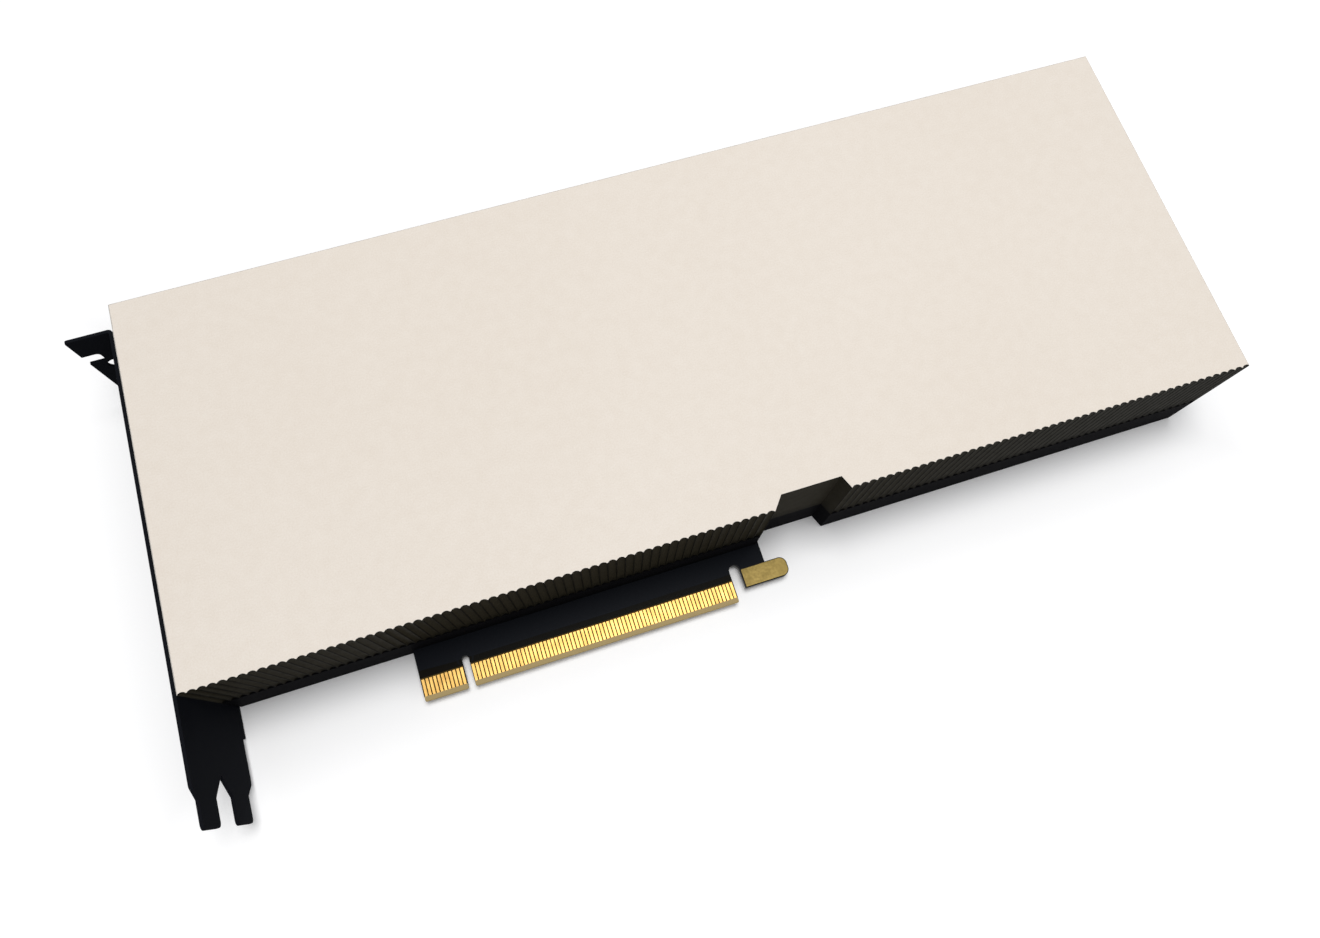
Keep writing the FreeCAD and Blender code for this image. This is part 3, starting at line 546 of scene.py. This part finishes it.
# ---------------------------------------------------------------- modelling moves
class Bench:
    """Modelling moves that the sub-assemblies share."""

    @staticmethod
    def clear() -> None:
        """Leaves nothing selected."""
        bpy.ops.object.select_all(action="DESELECT")

    @staticmethod
    def pick(piece: bpy.types.Object) -> None:
        """Selects one piece alone and makes it active."""
        Bench.clear()
        piece.select_set(True)
        bpy.context.view_layer.objects.active = piece

    @staticmethod
    def choose_faces(piece: bpy.types.Object, test: Callable[[Vector, Vector], bool]) -> None:
        """Selects the faces that pass a test, in edit mode.

        Args:
            piece: The piece, already in edit mode.
            test: A function of a face's centre and normal.
        """
        mesh = bmesh.from_edit_mesh(piece.data)
        for item in list(mesh.verts) + list(mesh.edges) + list(mesh.faces):
            item.select = False
        for face in mesh.faces:
            if test(face.calc_center_median(), face.normal):
                face.select_set(True)
        mesh.select_flush(True)
        bmesh.update_edit_mesh(piece.data)

    @staticmethod
    def soften(piece: bpy.types.Object, width: float, segments: int = 2,
               angle: float = 30.0) -> None:
        """Rounds a piece's sharp edges.

        Args:
            piece: The piece.
            width: How far the rounding reaches from an edge.
            segments: Steps across the rounding.
            angle: Edges that turn by more than this are rounded, in degrees.
        """
        Bench.pick(piece)
        bevel = piece.modifiers.new("edge_break", "BEVEL")
        bevel.width = width
        bevel.segments = segments
        bevel.limit_method = "ANGLE"
        bevel.angle_limit = math.radians(angle)
        bevel.use_clamp_overlap = True
        bpy.ops.object.modifier_apply(modifier=bevel.name)
        bpy.ops.object.shade_smooth_by_angle(angle=SMOOTH_ANGLE)
        level = piece.modifiers.new("level_faces", "WEIGHTED_NORMAL")
        level.mode = "FACE_AREA"
        level.weight = 100
        level.keep_sharp = True
        bpy.ops.object.modifier_apply(modifier=level.name)

    @staticmethod
    def settle(piece: bpy.types.Object) -> None:
        """Puts a piece's place, turn and size into its mesh."""
        Bench.pick(piece)
        bpy.ops.object.transform_apply(location=True, rotation=True, scale=True)

    @staticmethod
    def spread(piece: bpy.types.Object, offsets: list[Vector], name: str) -> bpy.types.Object:
        """Copies a piece to more places and joins the copies.

        Args:
            piece: The first piece, at its own place.
            offsets: Moves from it to each further place.
            name: The joined piece's name.

        Returns:
            The joined piece.
        """
        copies = [piece]
        for offset in offsets:
            Bench.pick(piece)
            bpy.ops.object.duplicate(linked=False)
            twin = bpy.context.view_layer.objects.active
            twin.data.transform(Matrix.Translation(offset))
            copies.append(twin)
        Bench.clear()
        for twin in copies:
            twin.select_set(True)
        bpy.context.view_layer.objects.active = piece
        bpy.ops.object.join()
        piece.name = name
        piece.data.name = name
        return piece

    @staticmethod
    def dressed_copy(node: str, name: str, width: float, angle: float = 25.0,
                     segments: int = 2) -> bpy.types.Object:
        """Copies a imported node, heals its loose triangles and breaks its edges.

        Args:
            node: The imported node.
            name: The copy's name.
            width: Width of the broken edges.
            angle: Edges that turn by more than this are broken, in degrees.
            segments: Steps across an edge.

        Returns:
            The copy, which stands for the node.
        """
        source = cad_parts[node]
        piece = source.copy()
        piece.data = source.data.copy()
        piece.name = name
        piece.data.name = name
        piece.parent = None
        for key in list(piece.keys()):
            del piece[key]
        bpy.context.scene.collection.objects.link(piece)
        Bench.pick(piece)
        bpy.ops.object.mode_set(mode="EDIT")
        bpy.ops.mesh.select_all(action="SELECT")
        bpy.ops.mesh.remove_doubles(threshold=WELD)
        bpy.ops.mesh.dissolve_limited(angle_limit=FLAT_ANGLE)
        bpy.ops.mesh.select_all(action="DESELECT")
        bpy.ops.object.mode_set(mode="OBJECT")
        if piece.data.has_custom_normals:
            bpy.ops.mesh.customdata_custom_splitnormals_clear()
        if width > 0.0:
            Bench.soften(piece, width, segments, angle)
        else:
            bpy.ops.object.shade_smooth_by_angle(angle=math.radians(angle))
        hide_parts(node)
        return piece

    @staticmethod
    def hand_over(piece: bpy.types.Object, material: bpy.types.Material, slot: str) -> None:
        """Gives a piece its material and its body.

        Args:
            piece: The finished piece.
            material: The material that it wears.
            slot: Not used.
        """
        piece.data.materials.clear()
        piece.data.materials.append(material)
        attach(piece, "root")
        LOG.info("%s: %d faces", piece.name, len(piece.data.polygons))


def wear(node: str, material: bpy.types.Material) -> None:
    """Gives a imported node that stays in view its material.

    Args:
        node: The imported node.
        material: The material that it wears.
    """
    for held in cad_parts[node].material_slots:
        held.material = material
    LOG.info("%s: packed node kept", node)


# ---------------------------------------------------------------- sub-assemblies
@dataclass
class Cover:
    """Fluted cover with its pale face."""

    node: str = "cover"
    edge: float = 0.04 * MM

    def build(self) -> None:
        """Breaks the cover's edges a little and paints it."""
        low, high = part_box(self.node)
        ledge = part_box("frame")[1].z
        paint = CoverPaint(high.z / MM, low.y / MM, ledge / MM).make()
        piece = Bench.dressed_copy(self.node, "cover_shell", self.edge, 40.0, 1)
        Bench.hand_over(piece, paint, "cover_paint")


@dataclass
class Chassis:
    """Frame, backplate and slot bracket."""

    edge: float = 0.09 * MM

    def build(self) -> None:
        """Breaks the sheet's and the casting's edges and paints them."""
        frame_film = BlackFilm("frame_paint", (0.0048, 0.0046, 0.0054), (0.0082, 0.0080, 0.0092), 0.5)
        back_film = BlackFilm("back_paint", (0.006, 0.0062, 0.007), (0.012, 0.0125, 0.0145), 0.5,
                              1.2, 0.000014, (0.15, 1.0, 1.0))
        sheet_film = BlackFilm("bracket_black", (0.0055, 0.0061, 0.0082), (0.0115, 0.0125, 0.0155), 0.45)
        for node, film, slot in (
            ("frame", frame_film, "frame_paint"),
            ("backplate", back_film, "back_paint"),
            ("slot_bracket", sheet_film, "bracket_black"),
        ):
            piece = Bench.dressed_copy(node, f"{node}_dressed", self.edge)
            Bench.hand_over(piece, film.make(), slot)


@dataclass
class Screws:
    """Six-lobed screws on the bracket and on the back."""

    head_r: float = 2.3 * MM
    shank_r: float = 1.25 * MM
    head_h: float = 1.3 * MM
    drive_r: float = 0.95 * MM
    drive_depth: float = 0.75 * MM
    lobes: int = 6
    lobe_share: float = 0.12
    shank_l: float = 2.2 * MM
    dome_inset: float = 0.35 * MM

    def _blank(self, name: str, flat: bool) -> bpy.types.Object:
        """Turns one screw head that looks along +Z, its top at the origin.

        Args:
            name: The piece's name.
            flat: Whether the head is countersunk instead of domed.

        Returns:
            The screw.
        """
        Bench.clear()
        bpy.ops.mesh.primitive_cylinder_add(
            vertices=36, radius=self.head_r, depth=self.head_h, location=(0.0, 0.0, -self.head_h / 2))
        screw = bpy.context.active_object
        screw.name = name
        Bench.settle(screw)
        bpy.ops.object.mode_set(mode="EDIT")
        if flat:
            Bench.choose_faces(screw, lambda centre, normal: normal.z < -0.9)
            ratio = self.shank_r / self.head_r
            bpy.ops.transform.resize(value=(ratio, ratio, 1.0), center_override=(0.0, 0.0, 0.0))
        else:
            Bench.choose_faces(screw, lambda centre, normal: normal.z > 0.9)
            bpy.ops.mesh.inset(thickness=self.dome_inset, depth=0.0)
            Bench.choose_faces(screw, lambda centre, normal: normal.z < -0.9)
            bpy.ops.mesh.inset(thickness=self.head_r - self.shank_r, depth=0.0)
        bpy.ops.mesh.extrude_region_move(TRANSFORM_OT_translate={"value": (0.0, 0.0, -self.shank_l)})
        bpy.ops.object.mode_set(mode="OBJECT")
        self._recess(screw)
        Bench.soften(screw, 0.12 * MM, 2, 28.0)
        return screw

    def _recess(self, screw: bpy.types.Object) -> None:
        """Cuts the six-lobed drive recess into a head.

        Args:
            screw: The screw, its head's top at the origin.
        """
        Bench.clear()
        bpy.ops.mesh.primitive_cylinder_add(
            vertices=24, radius=self.drive_r, depth=2 * self.drive_depth, location=(0.0, 0.0, 0.0))
        cutter = bpy.context.active_object
        Bench.settle(cutter)
        bpy.ops.object.mode_set(mode="EDIT")
        mesh = bmesh.from_edit_mesh(cutter.data)
        for vertex in mesh.verts:
            wave = math.cos(self.lobes * math.atan2(vertex.co.y, vertex.co.x))
            lobe = 1.0 - self.lobe_share + self.lobe_share * wave
            vertex.co.x *= lobe
            vertex.co.y *= lobe
        bmesh.update_edit_mesh(cutter.data)
        bpy.ops.object.mode_set(mode="OBJECT")
        Bench.pick(screw)
        cut = screw.modifiers.new("drive", "BOOLEAN")
        cut.operation = "DIFFERENCE"
        cut.solver = "EXACT"
        cut.object = cutter
        bpy.ops.object.modifier_apply(modifier=cut.name)
        bpy.data.objects.remove(cutter)

    def _place(self, screw: bpy.types.Object, turn: Axis, places: list[Vector], name: str,
               node: str, material: bpy.types.Material, slot: str) -> None:
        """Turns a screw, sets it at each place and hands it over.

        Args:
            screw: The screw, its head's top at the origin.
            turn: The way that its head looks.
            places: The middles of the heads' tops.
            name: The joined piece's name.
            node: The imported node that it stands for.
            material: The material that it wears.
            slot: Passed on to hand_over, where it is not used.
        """
        screw.rotation_euler = turn.value
        screw.location = places[0]
        Bench.settle(screw)
        joined = Bench.spread(screw, [place - places[0] for place in places[1:]], name)
        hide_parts(node)
        Bench.hand_over(joined, material, slot)

    def build(self) -> None:
        """Makes the screws that can be seen."""
        black = BlackFilm("screw_black", (0.010, 0.010, 0.011), (0.03, 0.03, 0.032), 0.34).make()
        steel = Plating("screw_steel", (0.62, 0.61, 0.59), (0.42, 0.41, 0.39), 0.3).make()
        for cap in ("backplate_screws", "bracket_screws", "clamp_screws"):
            LOG.info("%s: %d heads", cap, len(head_places(cap)))
        self._place(self._blank("screw_flat", True), Axis.DOWN, head_places("backplate_screws"),
                    "backplate_screws_turned", "backplate_screws", black, "screw_black")
        self._place(self._blank("screw_pan", False), Axis.ALONG, head_places("bracket_screws"),
                    "bracket_screws_turned", "bracket_screws", black, "screw_black")
        self._place(self._blank("screw_clamp", False), Axis.DOWN, head_places("clamp_screws"),
                    "clamp_screws_turned", "clamp_screws", steel, "screw_steel")
        wear("cover_screws", black)


def head_places(node: str) -> list[Vector]:
    """Finds the middle of each screw head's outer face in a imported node.

    Args:
        node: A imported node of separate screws.

    Returns:
        One point for each screw.
    """
    mesh = bmesh.new()
    mesh.from_mesh(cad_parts[node].data)
    bmesh.ops.remove_doubles(mesh, verts=mesh.verts, dist=WELD)
    waiting = set(mesh.verts)
    found = []
    while waiting:
        island = {waiting.pop()}
        edge = list(island)
        while edge:
            for link in edge.pop().link_edges:
                for vertex in link.verts:
                    if vertex in waiting:
                        waiting.discard(vertex)
                        island.add(vertex)
                        edge.append(vertex)
        low = Vector([min(v.co[i] for v in island) for i in range(3)])
        high = Vector([max(v.co[i] for v in island) for i in range(3)])
        middle = (low + high) / 2
        spans = high - low
        along = 0 if spans.x > spans.z else 2
        middle[along] = low[along]
        found.append(middle)
    mesh.free()
    return sorted(found, key=lambda point: tuple(round(part, 6) for part in point))


@dataclass
class EdgeConnector:
    """Board with its contacts."""

    corner: float = 0.75 * MM
    edge: float = 0.05 * MM

    def _corners(self, board: bpy.types.Object) -> None:
        """Rounds the tongue's outer corners and those beside the key slot.

        Args:
            board: The board's dressed copy.
        """
        Bench.pick(board)
        bpy.ops.object.mode_set(mode="EDIT")
        mesh = bmesh.from_edit_mesh(board.data)
        for item in list(mesh.verts) + list(mesh.edges) + list(mesh.faces):
            item.select = False
        for edge in mesh.edges:
            first, second = (vertex.co for vertex in edge.verts)
            upright = abs(first.x - second.x) + abs(first.y - second.y) < UPRIGHT
            if upright and first.y < LOWEST:
                edge.select_set(True)
        mesh.select_flush(True)
        bmesh.update_edit_mesh(board.data)
        bpy.ops.mesh.bevel(offset=self.corner, segments=5, affect="EDGES", clamp_overlap=True)
        bpy.ops.object.mode_set(mode="OBJECT")

    def build(self) -> None:
        """Dresses the board and its contacts."""
        mask = BoardMask().make()
        gold = Plating("gold", (0.40, 0.250, 0.078), (0.31, 0.175, 0.045), 0.4).make()
        dull = Plating("hook_gold", (0.135, 0.099, 0.033), (0.108, 0.078, 0.025), 0.45, 1.5,
                       (1.0, 1.0, 1.0)).make()
        board = Bench.dressed_copy("circuit_board", "board_dressed", 0.0)
        self._corners(board)
        Bench.soften(board, self.edge)
        Bench.hand_over(board, mask, "board")
        wear("edge_contacts_front", gold)
        wear("edge_contacts_back", gold)
        wear("hook_pads", dull)


@dataclass
class Cooling:
    """Fin block and vapour chamber inside the air channel."""

    def build(self) -> None:
        """Dresses the metal inside the card."""
        fins = Plating("fin_metal", (0.78, 0.79, 0.80), (0.66, 0.67, 0.68), 0.34, 1.6,
                       (0.05, 1.0, 1.0)).make()
        plate = Plating("chamber_metal", (0.68, 0.62, 0.54), (0.55, 0.48, 0.40), 0.32).make()
        ring = Plating("plated_metal", (0.66, 0.66, 0.66), (0.5, 0.5, 0.5), 0.3).make()
        wear("fin_block", fins)
        wear("vapour_chamber", plate)
        wear("stiffener_ring", ring)


@dataclass
class Electronics:
    """Package, power parts, pads and the power socket."""

    def build(self) -> None:
        """Dresses the parts on the board."""
        carrier = Moulding("substrate", (0.06, 0.10, 0.06), (0.08, 0.13, 0.07), 0.45).make()
        silicon = Moulding("silicon", (0.16, 0.17, 0.20), (0.2, 0.2, 0.23), 0.12, 0.5, 0.000002).make()
        ferrite = Moulding("ferrite", (0.09, 0.09, 0.095), (0.12, 0.12, 0.125), 0.6).make()
        epoxy = Moulding("moulding", (0.02, 0.02, 0.022), (0.03, 0.03, 0.032), 0.5).make()
        body = Moulding("capacitor_body", (0.10, 0.075, 0.04), (0.13, 0.1, 0.06), 0.5).make()
        pad = Moulding("heat_pad", (0.36, 0.38, 0.41), (0.42, 0.44, 0.47), 0.75).make()
        nylon = Moulding("socket_plastic", (0.012, 0.012, 0.012), (0.02, 0.02, 0.02), 0.42).make()
        pins = Plating("pin_metal", (0.86, 0.76, 0.5), (0.7, 0.6, 0.38), 0.3).make()
        wear("substrate", carrier)
        wear("processor_die", silicon)
        wear("memory_stacks", silicon)
        wear("inductors", ferrite)
        wear("power_stages", epoxy)
        wear("small_chips", epoxy)
        wear("capacitors", body)
        wear("heat_pads", pad)
        wear("back_pads", pad)
        socket = Bench.dressed_copy("power_socket", "power_socket_dressed", 0.12 * MM)
        Bench.hand_over(socket, nylon, "socket_plastic")
        wear("power_pins", pins)


# ---------------------------------------------------------------- studio
@dataclass(frozen=True)
class Lamp:
    """A soft square lamp: its place, the point that it looks at, its side, watts and tint."""

    name: str
    at: tuple[float, float, float]
    aim: tuple[float, float, float]
    size: float
    power: float
    tint: Colour

    def hang(self) -> None:
        """Hangs the lamp."""
        data = bpy.data.lights.new(self.name, "AREA")
        data.shape = "SQUARE"
        data.size = self.size
        data.energy = self.power
        data.color = self.tint
        lamp = bpy.data.objects.new(self.name, data)
        lamp.location = self.at
        lamp.rotation_euler = (Vector(self.at) - Vector(self.aim)).to_track_quat("Z", "Y").to_euler()
        bpy.context.scene.collection.objects.link(lamp)


@dataclass
class Studio:
    """White sweep, soft lamps and the camera above the card."""

    camera_at: Vector = field(default_factory=lambda: Vector((0.029672, -0.030943, 0.261117)))
    camera_turn: tuple[float, float, float] = (17.682, -2.495, -17.913)
    lens: float = 27.165
    shift: tuple[float, float] = (-0.00423, -0.01181)
    sensor: float = 36.0
    floor_side: float = 6.0
    floor_drop: float = 0.00005
    room: Colour = (0.98, 0.99, 1.0)
    room_strength: float = 0.24
    lamps: tuple[Lamp, ...] = (
        Lamp("lamp_top", (0.10, 0.09, 1.0), (0.08, 0.05, 0.0), 0.36, 7.5, (1.0, 0.998, 0.99)),
        Lamp("lamp_side", (0.50, -0.25, 0.45), (0.07, 0.05, 0.0), 0.4, 0.22, (1.0, 1.0, 1.0)),
    )

    def _floor(self) -> None:
        """Lays the sweep under the card."""
        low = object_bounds()[0]
        Bench.clear()
        place = (0.07, 0.05, low[2] - self.floor_drop)
        bpy.ops.mesh.primitive_plane_add(size=self.floor_side, location=place)
        floor = bpy.context.active_object
        floor.name = "floor"
        Bench.settle(floor)
        bpy.ops.object.mode_set(mode="EDIT")
        bpy.ops.mesh.select_all(action="SELECT")
        bpy.ops.mesh.subdivide(number_cuts=3)
        bpy.ops.object.mode_set(mode="OBJECT")
        (low_x, low_y, _), (high_x, high_y, _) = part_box("cover")
        floor.data.materials.append(FloorFilm(low_x / MM, high_x / MM, low_y / MM, high_y / MM).make())
        floor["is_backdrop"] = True

    def _camera(self) -> None:
        """Sets the camera."""
        data = bpy.data.cameras.new("camera")
        data.sensor_width = self.sensor
        data.lens = self.lens
        data.shift_x, data.shift_y = self.shift
        data.clip_start = 0.01
        camera = bpy.data.objects.new("camera", data)
        camera.location = self.camera_at
        camera.rotation_euler = [math.radians(part) for part in self.camera_turn]
        bpy.context.scene.collection.objects.link(camera)
        bpy.context.scene.camera = camera

    def build(self) -> None:
        """Sets the floor, the lamps, the world and the camera."""
        self._floor()
        for lamp in self.lamps:
            lamp.hang()
        world = bpy.data.worlds.new("room")
        world.use_nodes = True
        background = world.node_tree.nodes["Background"].inputs
        background[0].default_value = (*self.room, 1.0)
        background[1].default_value = self.room_strength
        bpy.context.scene.world = world
        bpy.context.scene.view_settings.view_transform = "Standard"
        self._camera()
        LOG.info("studio: floor, two lamps and a camera")


def main() -> None:
    """Builds and dresses each sub-assembly in turn."""
    logging.basicConfig(level=logging.INFO, format="%(name)s %(message)s")
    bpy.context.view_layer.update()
    for assembly in (Cover(), Chassis(), Screws(), EdgeConnector(), Cooling(), Electronics(), Studio()):
        assembly.build()
        LOG.info("%s built", type(assembly).__name__)


if __name__ == "__main__":
    main()
